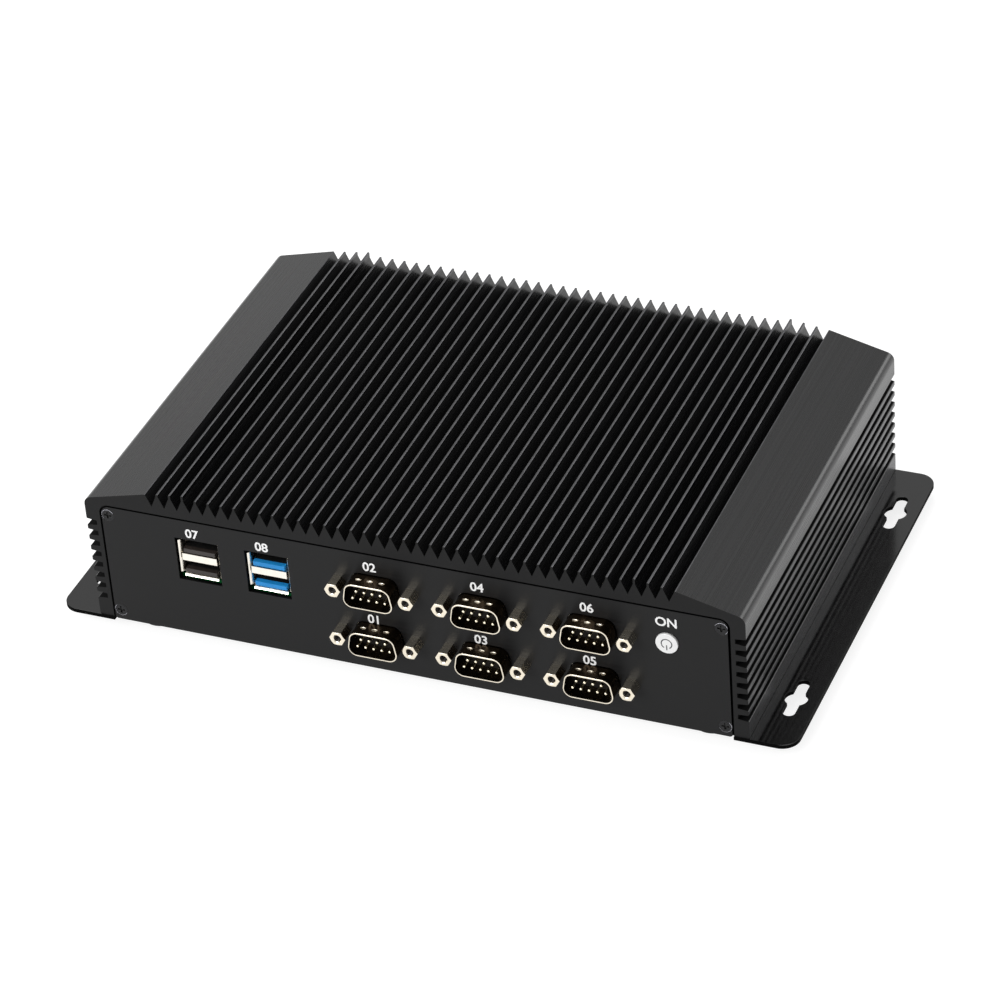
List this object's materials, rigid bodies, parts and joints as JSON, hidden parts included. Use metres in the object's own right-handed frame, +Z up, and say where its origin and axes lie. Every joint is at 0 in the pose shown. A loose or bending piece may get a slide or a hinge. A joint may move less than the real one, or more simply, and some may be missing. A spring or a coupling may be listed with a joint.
{
  "type": "fanless industrial pc",
  "caption": "Flat fanless computer: finned extruded aluminium housing, brushed front panel with serial and USB ports and a power button, flanged base plate on rubber feet.",
  "frame": {"origin": "on the ground, in the middle of the footprint", "axes": "+Z up; +X to the right when the front panel is looked at; the front panel faces -Y"},
  "size_m": [0.254, 0.1638, 0.06],
  "materials": {
    "black_anodised_extrusion": "satin black anodised",
    "brushed_black_panel": "brushed, black anodised",
    "black_powder_coat": "fine matt powder coat",
    "black_steel_screw": "black oxide",
    "feet_rubber": "matt",
    "nickel_shell": "nickel plated",
    "black_insulator": "moulded",
    "nickel_jackscrew": "nickel plated",
    "circuit_board": "solder resist",
    "ribbon_cable": "satin",
    "bright_shell": "tin plated",
    "blue_insulator": "moulded",
    "white_button": "gloss",
    "switch_plastic": "moulded",
    "plated_pillar": "zinc plated",
    "chip_package": "moulded",
    "thermal_pad": "soft",
    "bare_aluminium": "machined",
    "cell_steel": "bright",
    "blue_video_insulator": "moulded"
  },
  "bodies": {
    "case": {"audio_jack": "black_insulator", "base_plate": "black_powder_coat", "base_screws": "black_steel_screw", "board_screws": "plated_pillar", "coin_cell": "cell_steel", "coin_cell_holder": "black_insulator", "front_panel": "brushed_black_panel", "hdmi_port": "bright_shell", "heat_block": "bare_aluminium", "heat_block_screws": "black_steel_screw", "housing": "black_anodised_extrusion", "jackscrews": "nickel_jackscrew", "key_switch": "switch_plastic", "lan_port_1": "bright_shell", "lan_port_2": "bright_shell", "mainboard": "circuit_board", "mainboard_pillars": "plated_pillar", "memory_module": "circuit_board", "memory_socket": "black_insulator", "panel_screws": "black_steel_screw", "power_jack": "black_insulator", "processor": "chip_package", "rear_panel": "brushed_black_panel", "rubber_foot_front_left": "feet_rubber", "rubber_foot_front_right": "feet_rubber", "rubber_foot_rear_left": "feet_rubber", "rubber_foot_rear_right": "feet_rubber", "serial_board": "circuit_board", "serial_cable": "ribbon_cable", "serial_pin_block_1": "black_insulator", "serial_pin_block_2": "black_insulator", "serial_pin_block_3": "black_insulator", "serial_pin_block_4": "black_insulator", "serial_pin_block_5": "black_insulator", "serial_pin_block_6": "black_insulator", "serial_shell_1": "nickel_shell", "serial_shell_2": "nickel_shell", "serial_shell_3": "nickel_shell", "serial_shell_4": "nickel_shell", "serial_shell_5": "nickel_shell", "serial_shell_6": "nickel_shell", "storage_module": "circuit_board", "storage_socket": "black_insulator", "switch_board": "circuit_board", "switch_pillars": "plated_pillar", "thermal_pad": "thermal_pad", "usb_shell_front_1": "bright_shell", "usb_shell_front_2": "bright_shell", "usb_shell_rear_1": "bright_shell", "usb_shell_rear_2": "bright_shell", "usb_tongues_front_1": "black_insulator", "usb_tongues_front_2": "blue_insulator", "usb_tongues_rear_1": "black_insulator", "usb_tongues_rear_2": "black_insulator", "video_shell": "nickel_shell", "video_socket_block": "blue_video_insulator"},
    "button": {"power_button": "white_button", "switch_plunger": "switch_plastic"}
  },
  "joints": [
    {"name": "power_button_press", "type": "slide", "parent": "case", "child": "button", "axis": [0, 1, 0], "range_m": [0, 0.001], "stiffness_N_per_m": 1500, "springref_m": -0.001}
  ]
}
